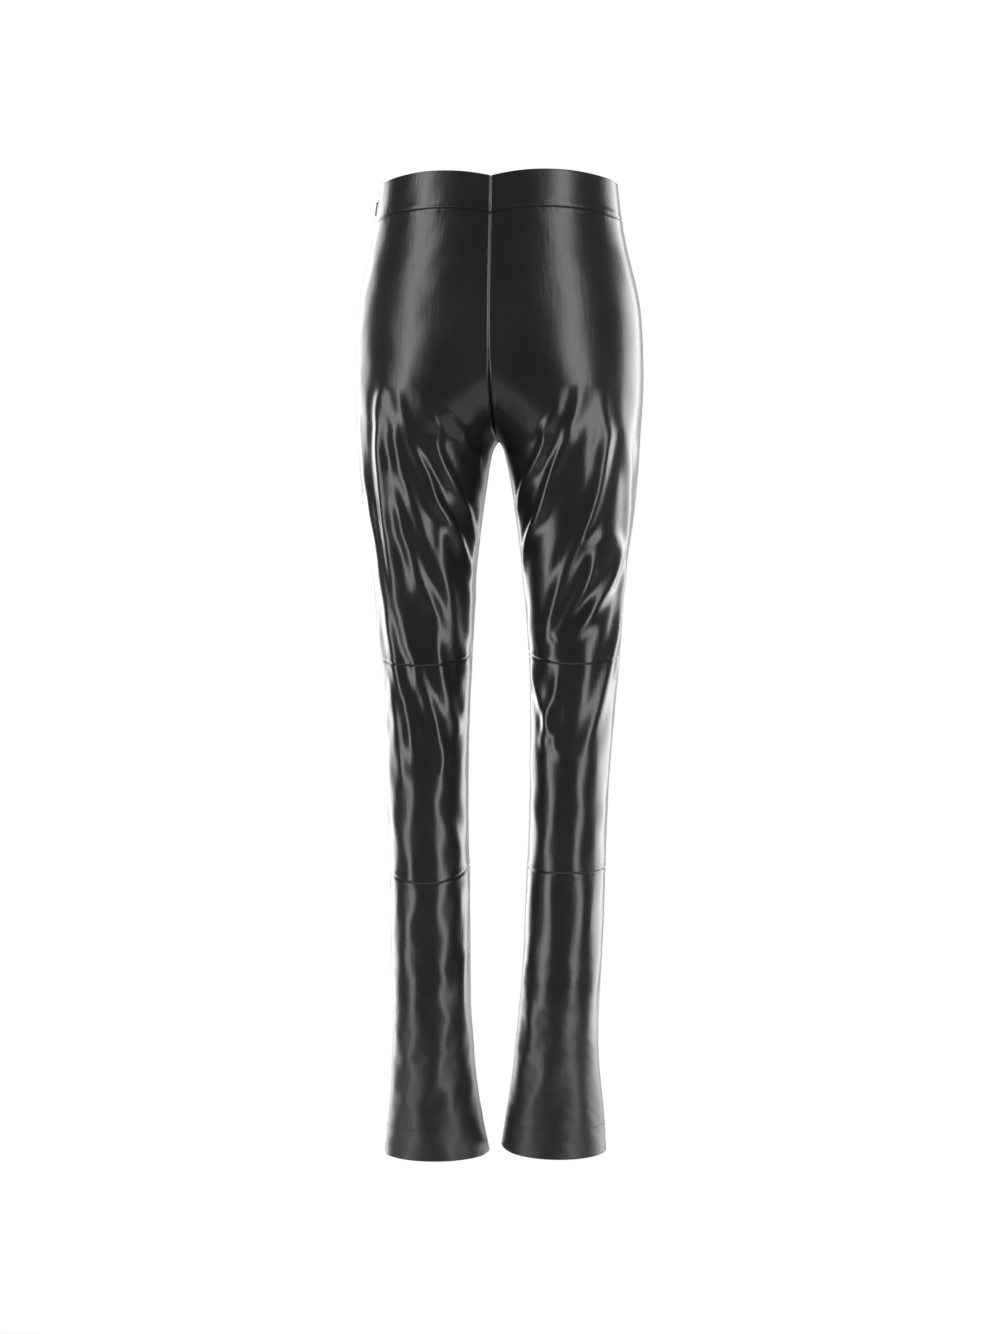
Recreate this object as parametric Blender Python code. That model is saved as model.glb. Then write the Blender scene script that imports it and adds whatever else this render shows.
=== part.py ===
"""Long close-fitting leather trousers, filled out as if worn and open at the waist and the hems.

Metres, Z up. The front faces -Y and the back faces +Y. The wearer's left is +X.
The origin is the centre of the waist's top. Every panel is a thin shell with a 0.3 mm seam gap round it.
"""

import bmesh
import bpy
import math
import numpy as np

# Leather and seams
PANEL_WALL = 0.0014
BAND_WALL = 0.0024
HEM_WALL = 0.0028
SEAM_GAP = 0.0003
STEP_LENGTH = 0.0015

# Heights down from the waist
BAND_HEIGHT = 0.042
CROTCH_Z = -0.289
CLEFT_RISE = 0.130
OVALS_MEET_Z = -0.275
HEM_HEIGHT = 0.030
KNEE_LEVEL = -0.535
CALF_LEVEL = -0.777
HEM_LEVEL = -1.090

# Columns of facets from the side seam to the centre seam or inseam
PLAIN_COLUMNS = 8
FOLDED_COLUMNS = 16

# Names of the sides
LEFT = 1
RIGHT = -1
BACK = 1
FRONT = -1

# Sections of the garment, in millimetres. Each leg is an oval between its outer and inner side. Just above the
# crotch the inner side is negative, as the two ovals run into one another, and higher up it isn't used.
# height, left leg's outer and inner side, right leg's outer and inner side, depth to the front and to the back
SECTIONS = (
    (0, 134.5, 0.0, 134.5, 0.0, 88.0, 92.0),
    (-42, 139.5, 0.0, 139.5, 0.0, 94.0, 100.0),
    (-85, 148.0, 0.0, 148.0, 0.0, 99.0, 109.0),
    (-130, 158.0, 0.0, 158.5, 0.0, 101.0, 118.0),
    (-180, 162.3, 0.0, 163.0, 0.0, 99.0, 122.0),
    (-230, 162.5, -88.2, 163.5, -88.2, 94.0, 116.5),
    (-260, 161.6, -39.7, 162.0, -39.8, 90.5, 108.0),
    (-275, 160.8, -18.3, 161.0, -18.3, 88.7, 103.0),
    (-289, 160.0, 0.0, 160.0, 0.0, 87.0, 98.3),
    (-296, 159.6, 5.0, 159.5, 5.0, 86.3, 96.2),
    (-305, 159.0, 7.9, 158.9, 8.0, 85.4, 93.9),
    (-333, 156.6, 12.7, 157.0, 13.6, 82.8, 88.0),
    (-378, 151.0, 18.7, 152.3, 20.5, 79.0, 79.0),
    (-423, 144.5, 24.0, 145.7, 26.0, 74.0, 71.0),
    (-469, 140.0, 26.8, 141.2, 30.5, 69.0, 64.0),
    (-525, 135.5, 29.5, 137.6, 34.5, 62.5, 57.5),
    (-582, 130.2, 32.3, 132.6, 36.5, 56.5, 55.0),
    (-650, 127.2, 34.2, 126.5, 36.2, 51.5, 56.5),
    (-720, 124.8, 34.5, 122.6, 35.2, 48.5, 56.5),
    (-786, 122.9, 33.0, 120.3, 32.0, 47.0, 53.5),
    (-860, 122.0, 32.3, 117.4, 29.0, 46.5, 50.5),
    (-922, 119.9, 31.6, 113.9, 24.3, 47.5, 49.5),
    (-967, 120.2, 28.9, 112.8, 19.8, 49.5, 50.5),
    (-1012, 122.0, 25.0, 115.6, 14.8, 52.5, 53.0),
    (-1050, 124.8, 19.2, 119.4, 8.8, 56.0, 56.0),
    (-1094, 129.8, 10.4, 121.8, 2.2, 60.0, 60.0),
)
HEIGHT = 0
OUTER = {LEFT: 1, RIGHT: 3}
INNER = {LEFT: 2, RIGHT: 4}
DEPTH = {FRONT: 5, BACK: 6}

# Waist edge: offset at the side seam, a third of the way, two thirds of the way and at the centre seam
WAIST_EDGE = {BACK: (0.000, 0.001, 0.003, -0.006), FRONT: (0.000, -0.002, -0.005, -0.006)}

# Cross seams: height at the side seam, in the middle of the panel and at the inseam
KNEE_SEAM = {
    (LEFT, BACK): (-0.530, -0.544, -0.529),
    (LEFT, FRONT): (-0.530, -0.536, -0.529),
    (RIGHT, BACK): (-0.530, -0.542, -0.526),
    (RIGHT, FRONT): (-0.530, -0.536, -0.526),
}
CALF_SEAM = {
    (LEFT, BACK): (-0.769, -0.787, -0.768),
    (LEFT, FRONT): (-0.769, -0.776, -0.768),
    (RIGHT, BACK): (-0.770, -0.774, -0.769),
    (RIGHT, FRONT): (-0.770, -0.773, -0.769),
}
HEM_EDGE = {
    (LEFT, BACK): (-1.0930, -1.0940, -1.0925),
    (LEFT, FRONT): (-1.0930, -1.0930, -1.0925),
    (RIGHT, BACK): (-1.0890, -1.0895, -1.0835),
    (RIGHT, FRONT): (-1.0890, -1.0890, -1.0835),
}

# Largest folds: leg, face, top, bottom, place across (0 side seam, 1 inseam) at top, third, two thirds and
# bottom, height of the ridge (a trough if negative) and half-width, in millimetres
FOLDS = (
    (LEFT, BACK, -0.246, -0.420, 0.68, 0.60, 0.76, 0.93, 3.0, 13.0),
    (LEFT, BACK, -0.246, -0.452, 0.55, 0.53, 0.68, 0.90, 3.0, 13.0),
    (LEFT, BACK, -0.238, -0.530, 0.44, 0.31, 0.32, 0.40, 2.6, 12.0),
    (LEFT, BACK, -0.325, -0.520, 0.40, 0.43, 0.53, 0.68, 2.4, 12.0),
    (LEFT, BACK, -0.270, -0.655, 0.18, 0.22, 0.30, 0.46, 2.8, 16.0),
    (LEFT, BACK, -0.930, -1.045, 0.70, 0.62, 0.48, 0.36, 1.8, 14.0),
    (RIGHT, BACK, -0.246, -0.360, 0.70, 0.64, 0.69, 0.82, 2.6, 12.0),
    (RIGHT, BACK, -0.242, -0.420, 0.57, 0.52, 0.64, 0.84, 3.0, 13.0),
    (RIGHT, BACK, -0.242, -0.512, 0.44, 0.34, 0.48, 0.66, 3.0, 13.0),
    (RIGHT, BACK, -0.392, -0.524, 0.17, 0.19, 0.35, 0.66, 2.4, 12.0),
    (RIGHT, BACK, -0.280, -0.645, 0.17, 0.10, 0.14, 0.36, 2.6, 15.0),
    (RIGHT, BACK, -0.545, -0.650, 0.90, 0.77, 0.66, 0.52, 2.0, 13.0),
    (RIGHT, BACK, -0.935, -1.050, 0.36, 0.48, 0.60, 0.70, 1.8, 14.0),
    (LEFT, FRONT, -0.262, -0.400, 0.80, 0.66, 0.58, 0.52, 2.4, 16.0),
    (RIGHT, FRONT, -0.258, -0.410, 0.82, 0.69, 0.60, 0.55, 2.2, 16.0),
    (LEFT, FRONT, -0.490, -0.585, 0.25, 0.42, 0.58, 0.72, 2.0, 18.0),
    (RIGHT, FRONT, -0.484, -0.590, 0.22, 0.40, 0.60, 0.76, 2.2, 18.0),
)

# Rows of facets, as heights before they bend to a seam
BAND_ROWS = (0.000, -0.014, -0.028, -0.042)
ZIP_ROWS = (-0.042, -0.060, -0.085, -0.110, -0.135, -0.160)
BACK_RISE_ROWS = (-0.185, -0.208, -0.229, -0.247, -0.262, -0.274, -0.283, -0.289)
FRONT_RISE_ROWS = (-0.192, -0.222, -0.247, -0.266, -0.280, -0.289)
BACK_THIGH_ROWS = (-0.294, -0.303, -0.318, -0.337, -0.358, -0.380, -0.403, -0.427, -0.452, -0.478, -0.506)
FRONT_THIGH_ROWS = (-0.294, -0.305, -0.324, -0.350, -0.380, -0.411, -0.442, -0.474, -0.505)
MID_LEG_ROWS = (-0.535, -0.560, -0.586, -0.613, -0.640, -0.667, -0.694, -0.721, -0.749, -0.777)
SHIN_ROWS = (-0.777, -0.806, -0.835, -0.864, -0.893, -0.922, -0.950, -0.977, -1.003, -1.030)
BAND_SEAM_REACH = 0.080
KNEE_SEAM_REACH = 0.110
CALF_SEAM_REACH = 0.090
HEM_EDGE_REACH = 0.120

# Concealed zip at the wearer's left side seam
TAPE_THICKNESS = 0.0010
TAPE_SHARE_OF_COLUMN = 0.5
SLIDER_DROP = 0.018
SLIDER_LENGTH = 0.0080
SLIDER_WIDTH = 0.0042
SLIDER_BASE = 0.0004
SLIDER_TOP = 0.0010
LUG_INSIDE = 0.0011
LUG_OUTSIDE = 0.0018
LUG_HALF_LENGTH = 0.0006
LUG_TOP = 0.0028
PIN_RADIUS = 0.00035
EYE_INNER_RADIUS = 0.00065
EYE_OUTER_RADIUS = 0.00095
EYE_HALF_WIDTH = 0.0008
PIN_HEIGHT = SLIDER_TOP + SEAM_GAP + EYE_OUTER_RADIUS
PULL_THICKNESS = 0.0008
PULL_SHOULDER = 0.0020
PULL_LENGTH = 0.0140
PULL_END_WIDTH = 0.0050
ROUND_SEGMENTS = 24


def clear_scene():
    for thing in list(bpy.data.objects):
        bpy.data.objects.remove(thing, do_unlink=True)


def row_bends(heights, values):
    """Second derivatives of the natural cubic curve through values at rising heights."""
    gaps = np.diff(heights)
    count = len(heights)
    system = np.eye(count)
    wanted = np.zeros(count)
    for k in range(1, count - 1):
        system[k, k - 1 : k + 2] = gaps[k - 1], 2 * (gaps[k - 1] + gaps[k]), gaps[k]
        rises = (values[k + 1] - values[k]) / gaps[k] - (values[k] - values[k - 1]) / gaps[k - 1]
        wanted[k] = 6 * rises
    return np.linalg.solve(system, wanted)


def smooth_row_value(column, z):
    """The value of a column of SECTIONS at height z, in metres, on a smooth curve through the rows."""
    table = np.array(SECTIONS[::-1], float) / 1000.0
    heights = table[:, HEIGHT]
    values = table[:, column]
    bends = row_bends(heights, values)
    low = np.clip(np.searchsorted(heights, z) - 1, 0, len(heights) - 2)
    gap = heights[low + 1] - heights[low]
    over = (z - heights[low]) / gap
    under = 1 - over
    straight = under * values[low] + over * values[low + 1]
    curve = (under**3 - under) * bends[low] + (over**3 - over) * bends[low + 1]
    return straight + curve * gap**2 / 6


def section(half, facing, z):
    """(centre, half-width, depth, last angle) of the oval that a leg or half of the hips follows at height z."""
    outer = smooth_row_value(OUTER[half], z)
    inner = smooth_row_value(INNER[half], z)
    depth = smooth_row_value(DEPTH[facing], z)
    above = np.clip((z - CROTCH_Z) / CLEFT_RISE, 0.0, 1.0)
    spread = (1.0 - above) ** 2
    in_leg = z < OVALS_MEET_Z
    centre = np.where(in_leg, (outer + inner) / 2, spread * outer / (1 + spread))
    half_width = np.where(in_leg, (outer - inner) / 2, outer / (1 + spread))
    last_angle = math.pi - np.arccos(np.clip(centre / half_width, 0.0, 1.0))
    return centre, half_width, depth, last_angle


def column_angle(last_angle, across):
    """The angle of a column. Near the crotch only the columns by the seam close up, so that the rest run straight."""
    missing = np.maximum(math.pi - last_angle, 1e-6)
    power = np.maximum(math.pi / (2 * missing) - 1, 0.0)
    return across * (math.pi - missing * across**power)


def smooth_point(half, facing, z, across):
    """A point of the form without folds. across is 0 at the side seam and 1 at the centre seam or inseam."""
    centre, half_width, depth, last_angle = section(half, facing, z)
    angle = column_angle(last_angle, across)
    x = half * (centre + half_width * np.cos(angle))
    y = facing * depth * np.sin(angle)
    return np.stack([x, y, z], axis=-1)


def outward(form, half, facing, z, across):
    """The unit normal, pointing out of the garment, of a form such as smooth_point or folded_point."""
    step_z = 0.001
    step_across = 0.004
    left = form(half, facing, z, np.clip(across - step_across, 0, 1))
    right = form(half, facing, z, np.clip(across + step_across, 0, 1))
    low = form(half, facing, z - step_z, across)
    high = form(half, facing, z + step_z, across)
    normal = np.cross(right - left, high - low) * half * facing
    return normal / np.linalg.norm(normal, axis=-1, keepdims=True)


def quarter_curve(values, t):
    """A cubic through four values at t of 0, a third, two thirds and 1."""
    places = np.array([0.0, 1 / 3, 2 / 3, 1.0])
    return np.polyval(np.polyfit(places, np.array(values, float), 3), t)


def relief(half, facing, z, across):
    """How far the folds push the leather out at a point, in metres."""
    _, half_width, depth, last_angle = section(half, facing, z)
    reach = last_angle * np.sqrt((half_width**2 + depth**2) / 2)
    total = np.zeros_like(z)
    for leg, face, top, bottom, a, b, c, d, height, width in FOLDS:
        if (leg, face) != (half, facing):
            continue
        t = np.clip((top - z) / (top - bottom), 0.0, 1.0)
        place = quarter_curve((a, b, c, d), t)
        run = (quarter_curve((a, b, c, d), np.minimum(t + 0.05, 1)) - place) * reach / (0.05 * (top - bottom))
        aside = (across - place) * reach / np.sqrt(1 + run**2) / (width / 1000)
        total = total + height / 1000 * np.sin(math.pi * t) ** 0.7 * np.exp(-(aside**2))
    return total


def folded_point(half, facing, z, across):
    normal = outward(smooth_point, half, facing, z, across)
    return smooth_point(half, facing, z, across) + normal * relief(half, facing, z, across)[..., None]


def seam_height(heights, across):
    """The height of a cross seam from its heights at the side seam, in the middle and at the inseam."""
    side, middle, inseam = heights
    straight = side + (inseam - side) * across
    return straight + (middle - (side + inseam) / 2) * np.sin(math.pi * across)


def fading(distance, reach):
    """1 at a seam, falling softly to 0 at the reach from it."""
    t = np.clip(1 - distance / reach, 0.0, 1.0)
    return t * t * (3 - 2 * t)


def bend_rows(rows, across, level, seam, reach):
    """Moves the rows near a seam so that they follow it."""
    weight = fading(np.abs(rows - level), reach)
    return rows + weight * (seam - level)


def waist_offset(facing, across):
    return quarter_curve(WAIST_EDGE[facing], across)


def apart(points, half, facing):
    """Keeps points half a seam gap from the centre plane and from the side-seam plane."""
    points[..., 0] = half * np.maximum(half * points[..., 0], SEAM_GAP / 2)
    points[..., 1] = facing * np.maximum(facing * points[..., 1], SEAM_GAP / 2)
    return points


def straighten_edge(points):
    """Lays every second point of an edge midway between its neighbours, to meet a coarser panel."""
    points[1::2] = (points[0:-1:2] + points[2::2]) / 2


def shell_grids(half, facing, heights, columns, wall):
    """(outer, inner) grids of points of one panel. heights and wall have a row for each row of facets."""
    across = np.linspace(0, 1, columns + 1)[None, :] + 0 * heights
    outer = folded_point(half, facing, heights, across)
    normal = outward(folded_point, half, facing, heights, across)
    inner = outer - normal * wall[..., None]
    outer = apart(outer, half, facing)
    inner = apart(inner, half, facing)
    if columns == FOLDED_COLUMNS:
        for grid in (outer, inner):
            straighten_edge(grid[0])
            straighten_edge(grid[-1])
    return outer, inner


def add_object(name, bm, material):
    bmesh.ops.recalc_face_normals(bm, faces=bm.faces)
    mesh = bpy.data.meshes.new(name)
    bm.to_mesh(mesh)
    bm.free()
    mesh.materials.append(material)
    thing = bpy.data.objects.new(name, mesh)
    bpy.context.scene.collection.objects.link(thing)
    return thing


def shell_object(name, outer, inner, material):
    """A closed thin shell between two grids of points, with its four edges filled in."""
    rows, columns = outer.shape[:2]
    bm = bmesh.new()
    out = [[bm.verts.new(outer[i, j]) for j in range(columns)] for i in range(rows)]
    back = [[bm.verts.new(inner[i, j]) for j in range(columns)] for i in range(rows)]
    for i in range(rows - 1):
        for j in range(columns - 1):
            a, b, c, d = (i, j), (i, j + 1), (i + 1, j + 1), (i + 1, j)
            for grid in (out, back):
                bm.faces.new([grid[p[0]][p[1]] for p in (a, b, c)])
                bm.faces.new([grid[p[0]][p[1]] for p in (a, c, d)])
    rim = [(0, j) for j in range(columns)]
    rim += [(i, columns - 1) for i in range(1, rows)]
    rim += [(rows - 1, j) for j in range(columns - 2, -1, -1)]
    rim += [(i, 0) for i in range(rows - 2, 0, -1)]
    for here, there in zip(rim, rim[1:] + rim[:1]):
        a, b = out[here[0]][here[1]], out[there[0]][there[1]]
        c, d = back[there[0]][there[1]], back[here[0]][here[1]]
        bm.faces.new((a, b, c))
        bm.faces.new((a, c, d))
    return add_object(name, bm, material)


def row_grid(rows, columns):
    """(heights, across) as two grids, from a list of heights and a number of columns."""
    across = np.linspace(0, 1, columns + 1)
    heights, places = np.meshgrid(np.array(rows, float), across, indexing="ij")
    return heights, places


def band_grids(half, facing):
    heights, across = row_grid(BAND_ROWS, PLAIN_COLUMNS)
    heights = heights + waist_offset(facing, across)
    heights[-1] += SEAM_GAP / 2
    return shell_grids(half, facing, heights, PLAIN_COLUMNS, np.full_like(heights, BAND_WALL))


def upper_leg_grids(half, facing):
    folded = facing == BACK
    columns = FOLDED_COLUMNS if folded else PLAIN_COLUMNS
    rise = BACK_RISE_ROWS if folded else FRONT_RISE_ROWS
    thigh = BACK_THIGH_ROWS if folded else FRONT_THIGH_ROWS
    heights, across = row_grid(ZIP_ROWS + rise + thigh + (KNEE_LEVEL,), columns)
    band_seam = waist_offset(facing, across) - BAND_HEIGHT
    knee_seam = seam_height(KNEE_SEAM[half, facing], across)
    heights = bend_rows(heights, across, -BAND_HEIGHT, band_seam, BAND_SEAM_REACH)
    heights = bend_rows(heights, across, KNEE_LEVEL, knee_seam, KNEE_SEAM_REACH)
    heights[0] -= SEAM_GAP / 2
    heights[-1] += SEAM_GAP / 2
    return shell_grids(half, facing, heights, columns, np.full_like(heights, PANEL_WALL))


def mid_leg_grids(half, facing):
    heights, across = row_grid(MID_LEG_ROWS, PLAIN_COLUMNS)
    knee_seam = seam_height(KNEE_SEAM[half, facing], across)
    calf_seam = seam_height(CALF_SEAM[half, facing], across)
    heights = bend_rows(heights, across, KNEE_LEVEL, knee_seam, KNEE_SEAM_REACH)
    heights = bend_rows(heights, across, CALF_LEVEL, calf_seam, CALF_SEAM_REACH)
    heights[0] -= SEAM_GAP / 2
    heights[-1] += SEAM_GAP / 2
    return shell_grids(half, facing, heights, PLAIN_COLUMNS, np.full_like(heights, PANEL_WALL))


def lower_leg_grids(half, facing):
    """The hem is turned up inside, so the wall is double there."""
    hem_top = HEM_LEVEL + HEM_HEIGHT
    rows = SHIN_ROWS + (hem_top + STEP_LENGTH, hem_top, hem_top - HEM_HEIGHT / 2, HEM_LEVEL)
    heights, across = row_grid(rows, PLAIN_COLUMNS)
    wall = np.where(heights < hem_top + STEP_LENGTH / 2, HEM_WALL, PANEL_WALL)
    calf_seam = seam_height(CALF_SEAM[half, facing], across)
    hem_edge = seam_height(HEM_EDGE[half, facing], across)
    heights = bend_rows(heights, across, CALF_LEVEL, calf_seam, CALF_SEAM_REACH)
    heights = bend_rows(heights, across, HEM_LEVEL, hem_edge, HEM_EDGE_REACH)
    heights[0] -= SEAM_GAP / 2
    return shell_grids(half, facing, heights, PLAIN_COLUMNS, wall)


def principled(name, colour, roughness, metallic):
    material = bpy.data.materials.new(name)
    material.use_nodes = True
    shader = material.node_tree.nodes["Principled BSDF"]
    shader.inputs["Base Color"].default_value = (*colour, 1.0)
    shader.inputs["Roughness"].default_value = roughness
    shader.inputs["Metallic"].default_value = metallic
    return material


def leather_material():
    return principled("black_leather", (0.012, 0.012, 0.014), 0.26, 0.0)


def tape_material():
    return principled("zip_tape_fabric", (0.015, 0.015, 0.016), 0.80, 0.0)


def zip_metal_material():
    return principled("zip_metal", (0.03, 0.03, 0.033), 0.35, 0.9)


def waistband_back(name, half, leather):
    shell_object(name, *band_grids(half, BACK), leather)


def waistband_front(leather):
    """One piece from side seam to side seam."""
    left = band_grids(LEFT, FRONT)
    right = band_grids(RIGHT, FRONT)
    grids = []
    for of_left, of_right in zip(left, right):
        of_left[:, -1, 0] = 0.0
        grids.append(np.concatenate([of_left, of_right[:, -2::-1]], axis=1))
    shell_object("waistband_front", *grids, leather)


def upper_leg(name, half, facing, leather):
    shell_object(name, *upper_leg_grids(half, facing), leather)


def mid_leg(name, half, facing, leather):
    shell_object(name, *mid_leg_grids(half, facing), leather)


def lower_leg(name, half, facing, leather):
    shell_object(name, *lower_leg_grids(half, facing), leather)


def beside_seam(half, facing, grids, columns, rows):
    """(point, inward direction) of a strip's edge on the inside of a panel, and at its side seam."""
    outer, inner = grids
    share = TAPE_SHARE_OF_COLUMN * columns / PLAIN_COLUMNS
    whole = int(share)
    part = share - whole
    edge = inner[rows, whole] * (1 - part) + inner[rows, min(whole + 1, columns)] * part
    edge_out = outer[rows, whole] * (1 - part) + outer[rows, min(whole + 1, columns)] * part
    seam = inner[rows, 0]
    seam_out = outer[rows, 0]
    return (edge, unit(edge - edge_out)), (seam, unit(seam - seam_out))


def unit(vectors):
    return vectors / np.linalg.norm(vectors, axis=-1, keepdims=True)


def tape_columns(facing):
    """Outer and inner points of the tape on one side of the seam, from the seam outwards."""
    strips = [beside_seam(LEFT, facing, band_grids(LEFT, facing), PLAIN_COLUMNS, slice(0, len(BAND_ROWS)))]
    columns = FOLDED_COLUMNS if facing == BACK else PLAIN_COLUMNS
    strips.append(beside_seam(LEFT, facing, upper_leg_grids(LEFT, facing), columns, slice(1, len(ZIP_ROWS))))
    result = []
    for place in (1, 0):
        points = np.concatenate([strip[place][0] for strip in strips])
        inwards = np.concatenate([strip[place][1] for strip in strips])
        result.append((points + inwards * SEAM_GAP, points + inwards * (SEAM_GAP + TAPE_THICKNESS)))
    return result


def zip_tape(fabric):
    """A strip behind the left side seam, made from the panels' inner points and moved in."""
    back = tape_columns(BACK)
    front = tape_columns(FRONT)
    middle = [(back[0][k] + front[0][k]) / 2 for k in range(2)]
    outer = np.stack([back[1][0], middle[0], front[1][0]], axis=1)
    inner = np.stack([back[1][1], middle[1], front[1][1]], axis=1)
    shell_object("zip_tape", outer, inner, fabric)


def slider_frame():
    """(origin, outward, down) on the outside of the left side seam, where the slider sits."""
    outer, _ = band_grids(LEFT, BACK)
    high, low = outer[1, 0], outer[2, 0]
    share = (high[2] + SLIDER_DROP) / (high[2] - low[2])
    origin = high + (low - high) * share
    origin[1] = 0.0
    down = low - high
    down[1] = 0.0
    down = down / np.linalg.norm(down)
    out = np.array([-down[2], 0.0, down[0]])
    return origin, out, down


def prism(name, outline, holes, low, high, plane, material):
    """A solid with the given outline, and perhaps one round hole, along one axis of the slider's frame.

    plane "side" takes (out, down) pairs and runs along Y. plane "flat" takes (across, down) pairs and runs out.
    """
    origin, out, down = slider_frame()

    def place(pair, along):
        if plane == "side":
            return origin + out * pair[0] + down * pair[1] + np.array([0.0, along, 0.0])
        return origin + out * along + down * pair[1] + np.array([0.0, pair[0], 0.0])

    bm = bmesh.new()
    loops = [outline] + holes
    rings = []
    for loop in loops:
        rings.append([[bm.verts.new(place(pair, along)) for pair in loop] for along in (low, high)])
    for ring in rings:
        count = len(ring[0])
        for k in range(count):
            n = (k + 1) % count
            bm.faces.new((ring[0][k], ring[0][n], ring[1][n], ring[1][k]))
    for end in (0, 1):
        if holes:
            rim, hole = rings[0][end], rings[1][end]
            for k in range(len(rim)):
                n = (k + 1) % len(rim)
                bm.faces.new((rim[k], rim[n], hole[n], hole[k]))
        else:
            bm.faces.new(rings[0][end])
    bmesh.ops.triangulate(bm, faces=bm.faces)
    return add_object(name, bm, material)


def circle(centre, radius):
    turn = 2 * math.pi / ROUND_SEGMENTS
    return [
        (centre[0] + radius * math.cos(k * turn), centre[1] + radius * math.sin(k * turn))
        for k in range(ROUND_SEGMENTS)
    ]


def join(thing, helper):
    """Joins a helper to an object and keeps the helper out of the result."""
    helper.hide_render = True
    helper.display_type = "WIRE"
    union = thing.modifiers.new(helper.name, "BOOLEAN")
    union.operation = "UNION"
    union.solver = "EXACT"
    union.object = helper


def zip_slider(metal):
    half_width = SLIDER_WIDTH / 2
    half_length = SLIDER_LENGTH / 2
    chamfer = half_width / 2
    plate = [
        (-half_width, -half_length + chamfer),
        (-half_width + chamfer, -half_length),
        (half_width - chamfer, -half_length),
        (half_width, -half_length + chamfer),
        (half_width, half_length),
        (-half_width, half_length),
    ]
    slider = prism("zip_slider", plate, [], SLIDER_BASE, SLIDER_TOP, "flat", metal)
    overlap = (SLIDER_TOP - SLIDER_BASE) / 2
    lug = [
        (SLIDER_TOP - overlap, -LUG_HALF_LENGTH),
        (LUG_TOP, -LUG_HALF_LENGTH),
        (LUG_TOP, LUG_HALF_LENGTH),
        (SLIDER_TOP - overlap, LUG_HALF_LENGTH),
    ]
    join(slider, prism("lug_back_helper", lug, [], LUG_INSIDE, LUG_OUTSIDE, "side", metal))
    join(slider, prism("lug_front_helper", lug, [], -LUG_OUTSIDE, -LUG_INSIDE, "side", metal))
    pin_end = (LUG_INSIDE + LUG_OUTSIDE) / 2
    pin = circle((PIN_HEIGHT, 0.0), PIN_RADIUS)
    join(slider, prism("pin_helper", pin, [], -pin_end, pin_end, "side", metal))


def zip_pull(metal):
    """A flat drop-shaped tab that hangs from an eye round the slider's pin."""
    rim = circle((PIN_HEIGHT, 0.0), EYE_OUTER_RADIUS)
    hole = circle((PIN_HEIGHT, 0.0), EYE_INNER_RADIUS)
    pull = prism("zip_pull", rim, [hole], -EYE_HALF_WIDTH, EYE_HALF_WIDTH, "side", metal)
    near = (EYE_INNER_RADIUS + EYE_OUTER_RADIUS) / 2
    end = PULL_END_WIDTH / 2
    tab = [
        (-EYE_HALF_WIDTH * 0.9, near),
        (EYE_HALF_WIDTH * 0.9, near),
        (EYE_HALF_WIDTH * 0.9, PULL_SHOULDER),
        (end * 0.7, PULL_SHOULDER + end * 0.6),
        (end, PULL_LENGTH - end),
        (end * 0.8, PULL_LENGTH - end * 0.4),
        (end * 0.4, PULL_LENGTH),
        (-end * 0.4, PULL_LENGTH),
        (-end * 0.8, PULL_LENGTH - end * 0.4),
        (-end, PULL_LENGTH - end),
        (-end * 0.7, PULL_SHOULDER + end * 0.6),
        (-EYE_HALF_WIDTH * 0.9, PULL_SHOULDER),
    ]
    low = PIN_HEIGHT - PULL_THICKNESS / 2
    high = PIN_HEIGHT + PULL_THICKNESS / 2
    join(pull, prism("tab_helper", tab, [], low, high, "flat", metal))


def main():
    clear_scene()
    leather = leather_material()
    fabric = tape_material()
    metal = zip_metal_material()
    sides = {LEFT: "left", RIGHT: "right"}
    faces = {BACK: "back", FRONT: "front"}
    waistband_front(leather)
    for half, side in sides.items():
        waistband_back(f"waistband_back_{side}", half, leather)
        for facing, face in faces.items():
            upper_leg(f"{face}_upper_leg_{side}", half, facing, leather)
            mid_leg(f"{face}_mid_leg_{side}", half, facing, leather)
            lower_leg(f"{face}_lower_leg_{side}", half, facing, leather)
    zip_tape(fabric)
    zip_slider(metal)
    zip_pull(metal)


main()
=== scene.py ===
"""Long close-fitting black leather trousers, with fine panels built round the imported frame."""

import bpy
import math
import numpy as np
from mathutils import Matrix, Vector


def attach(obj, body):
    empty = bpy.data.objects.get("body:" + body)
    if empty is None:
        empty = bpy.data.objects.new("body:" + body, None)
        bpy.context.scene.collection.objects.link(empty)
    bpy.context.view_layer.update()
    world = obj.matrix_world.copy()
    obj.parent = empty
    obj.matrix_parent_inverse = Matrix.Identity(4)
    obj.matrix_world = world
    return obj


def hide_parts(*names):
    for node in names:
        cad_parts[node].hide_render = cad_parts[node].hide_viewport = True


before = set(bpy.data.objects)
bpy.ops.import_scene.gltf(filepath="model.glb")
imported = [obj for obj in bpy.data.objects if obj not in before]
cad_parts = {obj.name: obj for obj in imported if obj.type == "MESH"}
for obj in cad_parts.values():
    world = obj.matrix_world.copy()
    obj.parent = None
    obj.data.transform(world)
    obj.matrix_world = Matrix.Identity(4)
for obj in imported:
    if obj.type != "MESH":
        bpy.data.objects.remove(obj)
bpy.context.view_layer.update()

# Leather and seams
PANEL_WALL = 0.0012
BAND_WALL = 0.0022
HEM_WALL = 0.0025
SEAM_GAP = 0.00004

# Heights down from the waist
BAND_HEIGHT = 0.042
CROTCH_Z = -0.289
CLEFT_RISE = 0.130
OVALS_MEET_Z = -0.275
HEM_HEIGHT = 0.030
KNEE_LEVEL = -0.535
CALF_LEVEL = -0.777
HEM_LEVEL = -1.090

# Names of the sides
LEFT = 1
RIGHT = -1
BACK = 1
FRONT = -1

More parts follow.
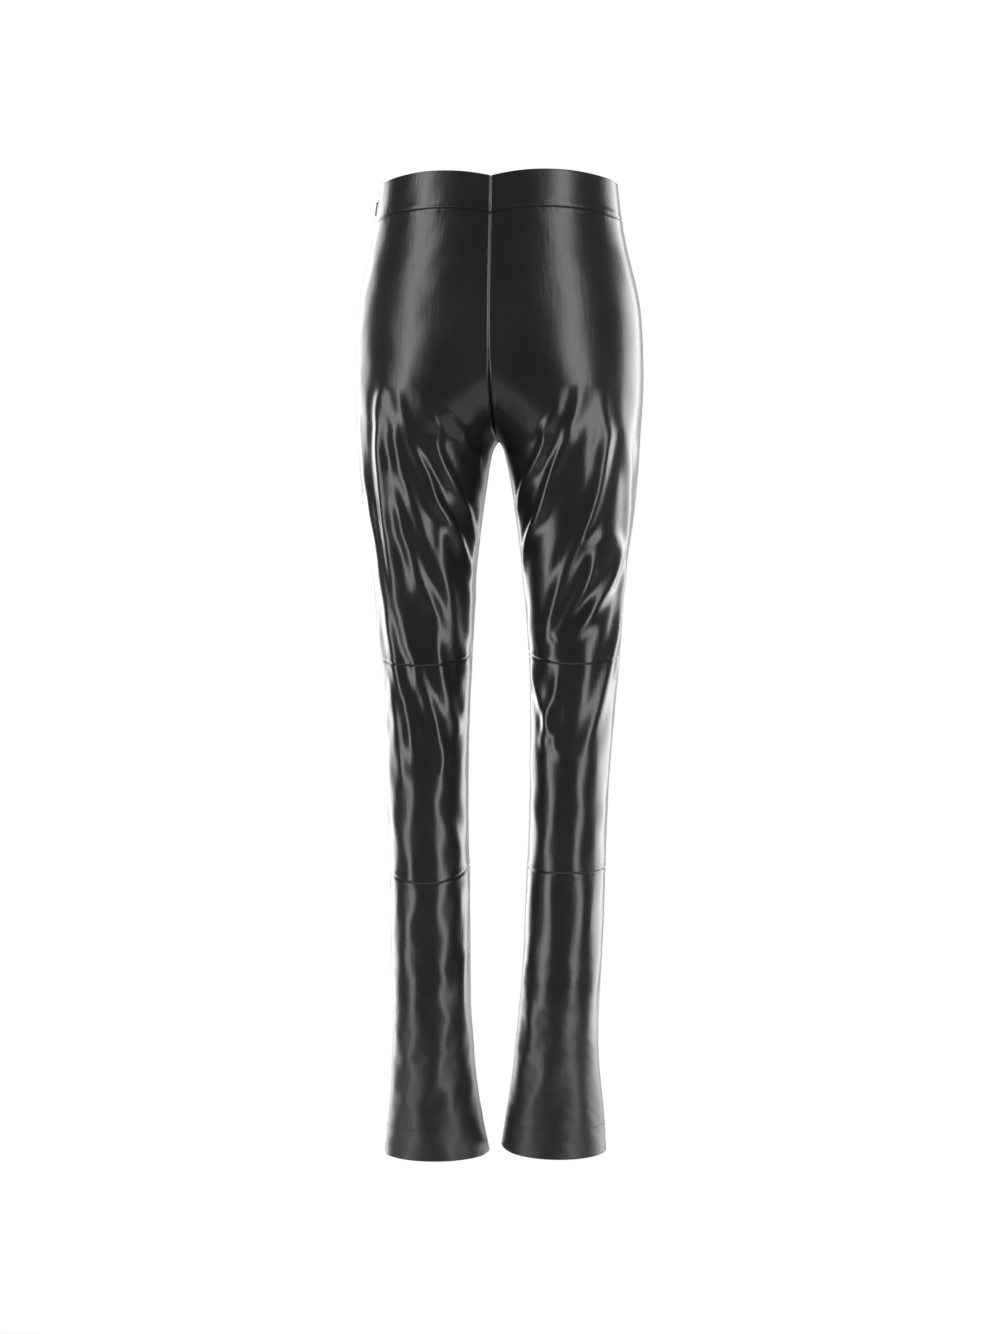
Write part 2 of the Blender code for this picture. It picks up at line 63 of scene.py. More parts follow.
# Sections of the garment, in millimetres. Each leg is an oval between its outer and inner side.
# Just above the crotch the inner side is negative, as the two ovals run into one another.
# Higher up the inner side isn't used.
# Columns: height, left leg's outer and inner side, right leg's outer and inner side, depth to the front
# and depth to the back.
SECTIONS = (
    (0, 134.5, 0.0, 134.5, 0.0, 88.0, 92.0),
    (-42, 139.5, 0.0, 139.5, 0.0, 94.0, 100.0),
    (-85, 148.0, 0.0, 148.0, 0.0, 99.0, 109.0),
    (-130, 158.0, 0.0, 158.5, 0.0, 101.0, 118.0),
    (-180, 162.3, 0.0, 163.0, 0.0, 99.0, 122.0),
    (-230, 162.5, -88.2, 163.5, -88.2, 94.0, 116.5),
    (-260, 161.6, -39.7, 162.0, -39.8, 90.5, 108.0),
    (-275, 160.8, -18.3, 161.0, -18.3, 88.7, 103.0),
    (-289, 160.0, 0.0, 160.0, 0.0, 87.0, 98.3),
    (-296, 159.6, 5.0, 159.5, 5.0, 86.3, 96.2),
    (-305, 159.0, 7.9, 158.9, 8.0, 85.4, 93.9),
    (-333, 156.6, 12.7, 157.0, 13.6, 82.8, 88.0),
    (-378, 151.0, 18.7, 152.3, 20.5, 79.0, 79.0),
    (-423, 144.5, 24.0, 145.7, 26.0, 74.0, 71.0),
    (-469, 140.0, 26.8, 141.2, 30.5, 69.0, 64.0),
    (-525, 135.5, 29.5, 137.6, 34.5, 62.5, 57.5),
    (-582, 130.2, 32.3, 132.6, 36.5, 56.5, 55.0),
    (-650, 127.2, 34.2, 126.5, 36.2, 51.5, 56.5),
    (-720, 124.8, 34.5, 122.6, 35.2, 48.5, 56.5),
    (-786, 122.9, 33.0, 120.3, 32.0, 47.0, 53.5),
    (-860, 122.0, 32.3, 117.4, 29.0, 46.5, 50.5),
    (-922, 119.9, 31.6, 113.9, 24.3, 47.5, 49.5),
    (-967, 120.2, 28.9, 112.8, 19.8, 49.5, 50.5),
    (-1012, 122.0, 25.0, 115.6, 14.8, 52.5, 53.0),
    (-1050, 124.8, 19.2, 119.4, 8.8, 56.0, 56.0),
    (-1094, 129.8, 10.4, 121.8, 2.2, 60.0, 60.0),
)
HEIGHT = 0
OUTER = {LEFT: 1, RIGHT: 3}
INNER = {LEFT: 2, RIGHT: 4}
DEPTH = {FRONT: 5, BACK: 6}

# Waist edge: offset at the side seam, a third of the way, two thirds of the way and at the centre seam
WAIST_EDGE = {BACK: (0.000, 0.001, 0.003, -0.006), FRONT: (0.000, -0.002, -0.005, -0.006)}

# Cross seams: height at the side seam, in the middle of the panel and at the inseam
KNEE_SEAM = {
    (LEFT, BACK): (-0.530, -0.544, -0.529),
    (LEFT, FRONT): (-0.530, -0.536, -0.529),
    (RIGHT, BACK): (-0.530, -0.542, -0.526),
    (RIGHT, FRONT): (-0.530, -0.536, -0.526),
}
CALF_SEAM = {
    (LEFT, BACK): (-0.769, -0.787, -0.768),
    (LEFT, FRONT): (-0.769, -0.776, -0.768),
    (RIGHT, BACK): (-0.770, -0.774, -0.769),
    (RIGHT, FRONT): (-0.770, -0.773, -0.769),
}
HEM_EDGE = {
    (LEFT, BACK): (-1.0930, -1.0940, -1.0925),
    (LEFT, FRONT): (-1.0930, -1.0930, -1.0925),
    (RIGHT, BACK): (-1.0890, -1.0895, -1.0835),
    (RIGHT, FRONT): (-1.0890, -1.0890, -1.0835),
}

BAND_SEAM_REACH = 0.080
KNEE_SEAM_REACH = 0.110
CALF_SEAM_REACH = 0.090
HEM_EDGE_REACH = 0.120

# Distances of the extra rows and columns from the edge of a panel, so that seams and edges stay crisp
EDGE_STEPS = (0.0, 0.0003, 0.0007, 0.0012, 0.0018, 0.0026, 0.0038, 0.0055)
EDGE_RADIUS = 0.0011

# Creases: leg, face, height and half-width on each side in millimetres, then points as (height, place
# across)
CREASES = (
    (
        LEFT, BACK, 3.0, 6, 9,
        (
            (-0.240, 0.62), (-0.293, 0.59), (-0.332, 0.67), (-0.359, 0.76), (-0.388, 0.87),
            (-0.412, 0.95),
        ),
    ),
    (
        LEFT, BACK, 3.0, 6, 10,
        (
            (-0.236, 0.48), (-0.284, 0.45), (-0.327, 0.55), (-0.360, 0.61), (-0.389, 0.71),
            (-0.414, 0.80), (-0.446, 0.92),
        ),
    ),
    (
        LEFT, BACK, 3.2, 9, 7,
        (
            (-0.236, 0.40), (-0.264, 0.31), (-0.325, 0.31), (-0.399, 0.31), (-0.473, 0.35),
            (-0.536, 0.42),
        ),
    ),
    (
        LEFT, BACK, 2.4, 8, 9,
        (
            (-0.240, 0.38), (-0.265, 0.37), (-0.310, 0.42), (-0.370, 0.50), (-0.425, 0.60),
            (-0.475, 0.74),
        ),
    ),
    (
        LEFT, BACK, 2.8, 7, 9,
        (
            (-0.325, 0.38), (-0.375, 0.41), (-0.425, 0.48), (-0.463, 0.55), (-0.520, 0.70),
        ),
    ),
    (
        LEFT, BACK, 2.2, 10, 8,
        (
            (-0.385, 0.62), (-0.440, 0.68), (-0.523, 0.75),
        ),
    ),
    (
        LEFT, BACK, 2.0, 5, 7,
        (
            (-0.264, 0.68), (-0.294, 0.73), (-0.318, 0.88),
        ),
    ),
    (
        LEFT, BACK, 3.0, 8, 10,
        (
            (-0.262, 0.14), (-0.350, 0.19), (-0.425, 0.24), (-0.554, 0.32), (-0.581, 0.37),
            (-0.620, 0.43), (-0.655, 0.47),
        ),
    ),
    (
        LEFT, BACK, 2.4, 7, 8,
        (
            (-0.500, 0.42), (-0.570, 0.52), (-0.640, 0.66), (-0.660, 0.62),
        ),
    ),
    (
        LEFT, BACK, 2.0, 7, 9,
        (
            (-0.490, 0.60), (-0.560, 0.66), (-0.620, 0.82),
        ),
    ),
    (
        LEFT, BACK, 1.8, 6, 9,
        (
            (-0.545, 0.20), (-0.600, 0.28), (-0.680, 0.34),
        ),
    ),
    (
        RIGHT, BACK, 2.8, 6, 8,
        (
            (-0.240, 0.62), (-0.285, 0.58), (-0.327, 0.70), (-0.347, 0.79), (-0.375, 0.90),
        ),
    ),
    (
        RIGHT, BACK, 3.0, 6, 9,
        (
            (-0.236, 0.51), (-0.274, 0.47), (-0.304, 0.52), (-0.343, 0.61), (-0.376, 0.69),
            (-0.408, 0.82), (-0.440, 0.92),
        ),
    ),
    (
        RIGHT, BACK, 3.2, 8, 8,
        (
            (-0.238, 0.38), (-0.280, 0.30), (-0.303, 0.31), (-0.347, 0.35), (-0.401, 0.44),
            (-0.444, 0.54), (-0.494, 0.64), (-0.520, 0.68),
        ),
    ),
    (
        RIGHT, BACK, 2.2, 7, 7,
        (
            (-0.512, 0.62), (-0.496, 0.55), (-0.450, 0.40), (-0.420, 0.36),
        ),
    ),
    (
        RIGHT, BACK, 2.6, 8, 8,
        (
            (-0.415, 0.44), (-0.402, 0.30), (-0.410, 0.17), (-0.439, 0.18), (-0.474, 0.32),
            (-0.504, 0.47), (-0.525, 0.68),
        ),
    ),
    (
        RIGHT, BACK, 2.6, 8, 10,
        (
            (-0.278, 0.19), (-0.398, 0.10), (-0.473, 0.08), (-0.548, 0.20), (-0.581, 0.25),
            (-0.614, 0.32), (-0.645, 0.37),
        ),
    ),
    (
        RIGHT, BACK, 2.4, 7, 9,
        (
            (-0.540, 0.93), (-0.581, 0.76), (-0.615, 0.64), (-0.648, 0.51),
        ),
    ),
    (
        RIGHT, BACK, 2.2, 7, 8,
        (
            (-0.535, 0.55), (-0.575, 0.62), (-0.625, 0.70), (-0.630, 0.58),
        ),
    ),
    (
        RIGHT, BACK, 1.4, 9, 12,
        (
            (-0.985, 0.50), (-1.010, 0.58), (-1.042, 0.68),
        ),
    ),
    (
        RIGHT, BACK, 1.2, 8, 10,
        (
            (-0.900, 0.80), (-0.950, 0.70), (-0.990, 0.76),
        ),
    ),
    (
        LEFT, BACK, 1.3, 9, 12,
        (
            (-0.930, 0.68), (-0.985, 0.58), (-1.040, 0.40),
        ),
    ),
    (
        LEFT, BACK, 1.2, 8, 10,
        (
            (-0.860, 0.90), (-0.905, 0.82), (-0.960, 0.88),
        ),
    ),
    (
        LEFT, FRONT, 2.4, 9, 11,
        (
            (-0.250, 0.84), (-0.300, 0.70), (-0.350, 0.60), (-0.405, 0.52),
        ),
    ),
    (
        LEFT, FRONT, 2.0, 8, 10,
        (
            (-0.235, 0.66), (-0.275, 0.52), (-0.320, 0.40),
        ),
    ),
    (
        LEFT, FRONT, 2.0, 9, 12,
        (
            (-0.490, 0.22), (-0.530, 0.42), (-0.556, 0.60), (-0.588, 0.76),
        ),
    ),
    (
        LEFT, FRONT, 1.8, 8, 10,
        (
            (-0.470, 0.80), (-0.510, 0.62), (-0.535, 0.45),
        ),
    ),
    (
        LEFT, FRONT, 1.2, 9, 12,
        (
            (-0.950, 0.25), (-1.000, 0.38), (-1.040, 0.55),
        ),
    ),
    (
        RIGHT, FRONT, 2.2, 9, 11,
        (
            (-0.248, 0.85), (-0.305, 0.70), (-0.360, 0.61), (-0.412, 0.55),
        ),
    ),
    (
        RIGHT, FRONT, 2.0, 8, 10,
        (
            (-0.240, 0.64), (-0.282, 0.50), (-0.330, 0.38),
        ),
    ),
    (
        RIGHT, FRONT, 2.2, 9, 12,
        (
            (-0.484, 0.20), (-0.525, 0.38), (-0.555, 0.60), (-0.592, 0.78),
        ),
    ),
    (
        RIGHT, FRONT, 1.8, 8, 10,
        (
            (-0.462, 0.82), (-0.505, 0.64), (-0.530, 0.48),
        ),
    ),
    (
        RIGHT, FRONT, 1.2, 9, 12,
        (
            (-0.945, 0.72), (-0.995, 0.60), (-1.035, 0.42),
        ),
    ),
)
CREASE_STEPS = 28
SHARE_OF_TROUGH = 0.22

# Seams, in metres
SEAM_DEPTH = 0.0008
SEAM_HALF_WIDTH = 0.0010
PAD_HEIGHT = 0.0003
PAD_DISTANCE = 0.0035
PAD_HALF_WIDTH = 0.0022
QUIET_EDGE = 0.009

# Unevenness, in metres
WAVE_HEIGHT = 0.00013
CRINKLE_HEIGHT = 0.00005

# Spacing of the rows and columns of the fine panels
BAND_STEP = 0.0025
FOLDED_STEP = 0.0021
PLAIN_STEP = 0.0030
LEG_STEP = 0.0024

# Hem stitches: spacing, (length, width, height), lift and the level of the row on each leg
STITCH_SPACING = 0.0036
STITCH_SIZE = (0.0026, 0.0005, 0.0005)
STITCH_LIFT = 0.00005
HEM_STITCH_Z = {LEFT: -1.062, RIGHT: -1.057}
BEAD_SIDES = 6

# Zip's tape and coil
TAPE_TOP = -0.002
TAPE_BOTTOM = -0.160
TAPE_DEPTH = 0.0031
TAPE_BACK_DEPTH = 0.0039
COIL_SPACING = 0.0012
COIL_SIZE = (0.0034, 0.0007, 0.0010)

# Tall soft lights: name, degrees round from the middle of the back, distance, height above the origin,
# width, length and brightness
SOFT_LIGHTS = (
    ("left_soft", 59, 3.0, 0.45, 1.0, 4.8, 4.6),
    ("right_soft", -50, 3.0, 0.45, 1.0, 4.8, 4.6),
    ("left_edge", 133, 3.0, -0.45, 2.0, 3.0, 4.5),
    ("right_edge", -128, 3.0, -0.45, 2.2, 3.0, 5.0),
)
FLOOR_SIZE = 1.8
FLOOR_PLACE = (0, 0.40, -1.45)

# Camera: it looks level at the back and stands a little to the wearer's right
CAMERA_TURN = 5.2
CAMERA_DISTANCE = 2.8
CAMERA_HEIGHT = -0.5445
CAMERA_ASIDE = 0.0017
LENS = 66.75
SENSOR = 36


def row_bends(heights, values):
    """Second derivatives of the natural cubic curve through values at rising heights."""
    gaps = np.diff(heights)
    count = len(heights)
    system = np.eye(count)
    wanted = np.zeros(count)
    for k in range(1, count - 1):
        system[k, k - 1 : k + 2] = gaps[k - 1], 2 * (gaps[k - 1] + gaps[k]), gaps[k]
        rises = (values[k + 1] - values[k]) / gaps[k] - (values[k] - values[k - 1]) / gaps[k - 1]
        wanted[k] = 6 * rises
    return np.linalg.solve(system, wanted)


def smooth_row_value(column, z):
    """The value of a column of SECTIONS at height z, in metres, on a smooth curve through the rows."""
    table = np.array(SECTIONS[::-1], float) / 1000.0
    heights = table[:, HEIGHT]
    values = table[:, column]
    bends = row_bends(heights, values)
    low = np.clip(np.searchsorted(heights, z) - 1, 0, len(heights) - 2)
    gap = heights[low + 1] - heights[low]
    over = (z - heights[low]) / gap
    under = 1 - over
    straight = under * values[low] + over * values[low + 1]
    curve = (under**3 - under) * bends[low] + (over**3 - over) * bends[low + 1]
    return straight + curve * gap**2 / 6


def section(half, facing, z):
    """(centre, half-width, depth, last angle) of the oval of a leg or half of the hips at height z."""
    outer = smooth_row_value(OUTER[half], z)
    inner = smooth_row_value(INNER[half], z)
    depth = smooth_row_value(DEPTH[facing], z)
    above = np.clip((z - CROTCH_Z) / CLEFT_RISE, 0.0, 1.0)
    spread = (1.0 - above) ** 2
    in_leg = z < OVALS_MEET_Z
    centre = np.where(in_leg, (outer + inner) / 2, spread * outer / (1 + spread))
    half_width = np.where(in_leg, (outer - inner) / 2, outer / (1 + spread))
    last_angle = math.pi - np.arccos(np.clip(centre / half_width, 0.0, 1.0))
    return centre, half_width, depth, last_angle


def column_angle(last_angle, across):
    """The angle of a column. Near the crotch only the columns by the seam close up."""
    missing = np.maximum(math.pi - last_angle, 1e-6)
    power = np.maximum(math.pi / (2 * missing) - 1, 0.0)
    return across * (math.pi - missing * across**power)


def smooth_point(half, facing, z, across):
    """A point of the form without folds. across is 0 at the side seam and 1 at the centre seam or inseam."""
    centre, half_width, depth, last_angle = section(half, facing, z)
    angle = column_angle(last_angle, across)
    x = half * (centre + half_width * np.cos(angle))
    y = facing * depth * np.sin(angle)
    return np.stack([x, y, z], axis=-1)


def quarter_curve(values, t):
    """A cubic through four values at t of 0, a third, two thirds and 1."""
    places = np.array([0.0, 1 / 3, 2 / 3, 1.0])
    return np.polyval(np.polyfit(places, np.array(values, float), 3), t)


def seam_height(heights, across):
    """The height of a cross seam from its heights at the side seam, in the middle and at the inseam."""
    side, middle, inseam = heights
    straight = side + (inseam - side) * across
    return straight + (middle - (side + inseam) / 2) * np.sin(math.pi * across)


def fading(distance, reach):
    """1 at a seam, falling softly to 0 at the reach from it."""
    t = np.clip(1 - distance / reach, 0.0, 1.0)
    return t * t * (3 - 2 * t)


def bend_rows(rows, across, level, seam, reach):
    """Moves the rows near a seam so that they follow it."""
    weight = fading(np.abs(rows - level), reach)
    return rows + weight * (seam - level)


def waist_offset(facing, across):
    return quarter_curve(WAIST_EDGE[facing], across)


def apart(points, half, facing):
    """Keeps points half a seam gap from the centre plane and from the side-seam plane."""
    points[..., 0] = half * np.maximum(half * points[..., 0], SEAM_GAP / 2)
    points[..., 1] = facing * np.maximum(facing * points[..., 1], SEAM_GAP / 2)
    return points


def reach_at(half, facing, z):
    """Rough length of leather from the side seam to the centre seam or inseam."""
    _, half_width, depth, last_angle = section(half, facing, z)
    return last_angle * np.sqrt((half_width**2 + depth**2) / 2)


def around_at(half, facing, z, across):
    """Length of leather from the side seam to a place, as the columns run."""
    _, half_width, depth, last_angle = section(half, facing, z)
    return column_angle(last_angle, np.clip(across, 0, 1)) * np.sqrt((half_width**2 + depth**2) / 2)


def crease_line(half, facing, path):
    """Points of a crease, smoothed, as distances (from the side seam, up)."""
    z = np.array([p[0] for p in path])
    across = np.array([p[1] for p in path])
    places = np.linspace(0, 1, len(path))
    t = np.linspace(0, 1, CREASE_STEPS)
    bends_z = row_bends(places, z)
    bends_a = row_bends(places, across)
    low = np.clip(np.searchsorted(places, t) - 1, 0, len(path) - 2)
    gap = places[1]
    over = (t - places[low]) / gap
    under = 1 - over
    cubic_low = (under**3 - under) * gap**2 / 6
    cubic_high = (over**3 - over) * gap**2 / 6
    line_z = under * z[low] + over * z[low + 1]
    line_z += cubic_low * bends_z[low] + cubic_high * bends_z[low + 1]
    line_a = under * across[low] + over * across[low + 1]
    line_a += cubic_low * bends_a[low] + cubic_high * bends_a[low + 1]
    return np.stack([around_at(half, facing, line_z, line_a), line_z], axis=-1)


def crease_height(u, v, line, height, wide_a, wide_b):
    """A soft ridge along a line, steeper on one side, dying out at both ends."""
    best = np.full(u.shape, 1e9)
    side = np.zeros(u.shape)
    along = np.zeros(u.shape)
    count = len(line) - 1
    for k in range(count):
        a, b = line[k], line[k + 1]
        run = b - a
        length = max(float(run @ run), 1e-12)
        t = np.clip(((u - a[0]) * run[0] + (v - a[1]) * run[1]) / length, 0, 1)
        du = u - a[0] - t * run[0]
        dv = v - a[1] - t * run[1]
        d = du * du + dv * dv
        near = d < best
        best = np.where(near, d, best)
        side = np.where(near, run[0] * dv - run[1] * du, side)
        along = np.where(near, (k + t) / count, along)
    distance = np.sqrt(best)
    width = np.where(side > 0, wide_a, wide_b)
    trough = np.exp(-(((distance - 1.9 * width) / (0.9 * width)) ** 2))
    ridge = np.exp(-((distance / width) ** 2)) - SHARE_OF_TROUGH * trough
    ends = np.clip(np.sin(math.pi * np.clip(along, 0, 1)), 0, 1) ** 0.6
    return height * ends * ridge


def uneven(half, facing, u, v):
    """Slight unevenness of worn leather, calmer over the seat and with finer crinkles low on the legs."""
    random = np.random.default_rng(40 + 3 * half + facing)
    total = np.zeros_like(u)
    calm = 0.2 + 0.8 * fading(np.clip(v + 0.36, 0, None), 0.16)
    for _ in range(14):
        length = random.uniform(0.035, 0.110)
        turn = random.uniform(0, math.pi)
        phase = random.uniform(0, 2 * math.pi)
        wave = (u * math.cos(turn) * 1.6 + v * math.sin(turn)) * 2 * math.pi / length + phase
        total += WAVE_HEIGHT * calm * np.sin(wave + 1.3 * np.sin(v * 31 + phase))
    low_leg = np.clip((-0.80 - v) / 0.15, 0, 1)
    for _ in range(8):
        length = random.uniform(0.012, 0.030)
        turn = random.uniform(-0.9, 0.9)
        phase = random.uniform(0, 2 * math.pi)
        wave = (u * math.sin(turn) + v * math.cos(turn)) * 2 * math.pi / length + phase
        total += CRINKLE_HEIGHT * low_leg * np.sin(wave + 2.0 * np.sin(u * 47 + phase))
    return total


def relief(half, facing, z, across):
    u = around_at(half, facing, z, across)
    total = uneven(half, facing, u, z)
    for leg, face, height, wide_a, wide_b, path in CREASES:
        if (leg, face) == (half, facing):
            line = crease_line(half, facing, path)
            total = total + crease_height(u, z, line, height / 1000, wide_a / 1000, wide_b / 1000)
    return total


def grid_normals(points, half, facing):
    down = np.gradient(points, axis=0)
    sideways = np.gradient(points, axis=1)
    normal = -np.cross(sideways, down) * half * facing
    return normal / np.maximum(np.linalg.norm(normal, axis=-1, keepdims=True), 1e-12)


def spaced(length, step):
    """Places along an edge of the given length, closer together at both ends."""
    ends = [s for s in EDGE_STEPS if s < length / 2 - step / 2]
    middle_length = length - 2 * ends[-1]
    count = max(int(round(middle_length / step)), 2)
    middle = ends[-1] + middle_length * np.linspace(0, 1, count + 1)[1:-1]
    return np.concatenate([ends, middle, [length - s for s in reversed(ends)]]) / length


def path_lengths(points, axis):
    steps = np.linalg.norm(np.diff(points, axis=axis), axis=-1)
    start = np.zeros_like(np.take(steps, [0], axis=axis))
    return np.concatenate([start, np.cumsum(steps, axis=axis)], axis=axis)


def rounded(distance):
    """How far a free edge falls back at a distance from it."""
    inside = np.clip(EDGE_RADIUS - distance, 0, EDGE_RADIUS)
    return EDGE_RADIUS - np.sqrt(EDGE_RADIUS**2 - inside**2)


def groove(distance, along):
    """A seam: the edge is turned in, with a low pad beside it that puckers a little."""
    pucker = 1 + 0.35 * np.sin(along * 2 * math.pi / 0.011) * np.sin(along * 2 * math.pi / 0.037 + 1.0)
    pad = PAD_HEIGHT * pucker * np.exp(-(((distance - PAD_DISTANCE) / PAD_HALF_WIDTH) ** 2))
    return pad - SEAM_DEPTH * np.exp(-((distance / SEAM_HALF_WIDTH) ** 2))


def fine_grids(half, facing, heights, across, wall, free_top, free_bottom):
    """(outer, inner) grids of a panel with its folds, seams and edges."""
    base = smooth_point(half, facing, heights, across)
    normal = grid_normals(base, half, facing)
    rows = path_lengths(base, 0)
    columns = path_lengths(base, 1)
    from_top, from_bottom = rows, rows[-1] - rows
    from_side, from_centre = columns, columns[:, -1:] - columns
    ramp = 1 - fading(np.minimum(from_side, from_centre), QUIET_EDGE)
    lift = relief(half, facing, heights, across) * ramp
    lift += groove(from_side, rows) + groove(from_centre, rows)
    lift += -rounded(from_top) if free_top else groove(from_top, columns)
    lift += -rounded(from_bottom) if free_bottom else groove(from_bottom, columns)
    outer = base + normal * lift[..., None]
    turned = grid_normals(outer, half, facing)
    inward = wall.copy()
    if free_top:
        inward -= rounded(from_top)
    if free_bottom:
        inward -= rounded(from_bottom)
    inner = outer - turned * np.maximum(inward, 0.0003)[..., None]
    return apart(outer, half, facing), apart(inner, half, facing)


def sheet_object(name, outer, inner, turned, material):
    """A closed thin shell between two grids. turned is 1 or -1, for which way the columns run."""
    rows, columns = outer.shape[:2]
    index = np.arange(rows * columns).reshape(rows, columns)
    a, b, c, d = index[:-1, :-1], index[:-1, 1:], index[1:, 1:], index[1:, :-1]
    faces = np.stack([a, b, c, d], axis=-1).reshape(-1, 4)
    other = faces + rows * columns
    rim = np.concatenate([index[0], index[1:, -1], index[-1, -2::-1], index[-2:0:-1, 0]])
    after = np.roll(rim, -1)
    walls = np.stack([after, rim, rim + rows * columns, after + rows * columns], axis=-1)
    if turned > 0:
        every = np.concatenate([faces[:, ::-1], other, walls[:, ::-1]])
    else:
        every = np.concatenate([faces, other[:, ::-1], walls])
    points = np.concatenate([outer.reshape(-1, 3), inner.reshape(-1, 3)])
    thing = mesh_object(name, points, every, material)
    smooth = np.ones(len(every), bool)
    smooth[-len(walls) :] = False
    thing.data.polygons.foreach_set("use_smooth", smooth)
    return thing


def mesh_object(name, points, faces, material):
    mesh = bpy.data.meshes.new(name)
    mesh.from_pydata(points.tolist(), [], faces.tolist())
    mesh.polygons.foreach_set("use_smooth", np.ones(len(mesh.polygons), bool))
    mesh.materials.append(material)
    mesh.update()
    thing = bpy.data.objects.new(name, mesh)
    bpy.context.scene.collection.objects.link(thing)
    return thing


def panel_grid(half, facing, top, bottom, step):
    """(heights, across) on a fine grid between two levels."""
    middle = np.array((top + bottom) / 2)
    rows = top + (bottom - top) * spaced(top - bottom, step)
    columns = spaced(float(reach_at(half, facing, middle)), step)
    return np.meshgrid(rows, columns, indexing="ij")


def band_panel(half, facing):
    heights, across = panel_grid(half, facing, 0.0, -BAND_HEIGHT, BAND_STEP)
    heights = heights + waist_offset(facing, across)
    heights[-1] += SEAM_GAP / 2
    return fine_grids(half, facing, heights, across, np.full_like(heights, BAND_WALL), True, False)


def upper_panel(half, facing):
    step = FOLDED_STEP if facing == BACK else PLAIN_STEP
    heights, across = panel_grid(half, facing, -BAND_HEIGHT, KNEE_LEVEL, step)
    band_seam = waist_offset(facing, across) - BAND_HEIGHT
    knee_seam = seam_height(KNEE_SEAM[half, facing], across)
    heights = bend_rows(heights, across, -BAND_HEIGHT, band_seam, BAND_SEAM_REACH)
    heights = bend_rows(heights, across, KNEE_LEVEL, knee_seam, KNEE_SEAM_REACH)
    return fine_grids(half, facing, heights, across, np.full_like(heights, PANEL_WALL), False, False)


def middle_panel(half, facing):
    heights, across = panel_grid(half, facing, KNEE_LEVEL, CALF_LEVEL, LEG_STEP)
    knee_seam = seam_height(KNEE_SEAM[half, facing], across)
    calf_seam = seam_height(CALF_SEAM[half, facing], across)
    heights = bend_rows(heights, across, KNEE_LEVEL, knee_seam, KNEE_SEAM_REACH)
    heights = bend_rows(heights, across, CALF_LEVEL, calf_seam, CALF_SEAM_REACH)
    return fine_grids(half, facing, heights, across, np.full_like(heights, PANEL_WALL), False, False)


def lower_panel(half, facing):
    """The hem is turned up inside, so the wall is double there."""
    heights, across = panel_grid(half, facing, CALF_LEVEL, HEM_LEVEL, LEG_STEP)
    wall = np.where(heights < HEM_LEVEL + HEM_HEIGHT, HEM_WALL, PANEL_WALL)
    calf_seam = seam_height(CALF_SEAM[half, facing], across)
    hem_edge = seam_height(HEM_EDGE[half, facing], across)
    heights = bend_rows(heights, across, CALF_LEVEL, calf_seam, CALF_SEAM_REACH)
    heights = bend_rows(heights, across, HEM_LEVEL, hem_edge, HEM_EDGE_REACH)
    return fine_grids(half, facing, heights, across, wall, False, True)


def declare_leather(piece, node):
    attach(piece, "trousers")
    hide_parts(node)


def node_tools(name):
    material = bpy.data.materials.new(name)
    material.use_nodes = True
    tree = material.node_tree

    def add(kind, **values):
        node = tree.nodes.new("ShaderNode" + kind)
        for key, value in values.items():
            setattr(node, key, value)
        return node

    return material, tree, add, tree.nodes["Principled BSDF"]


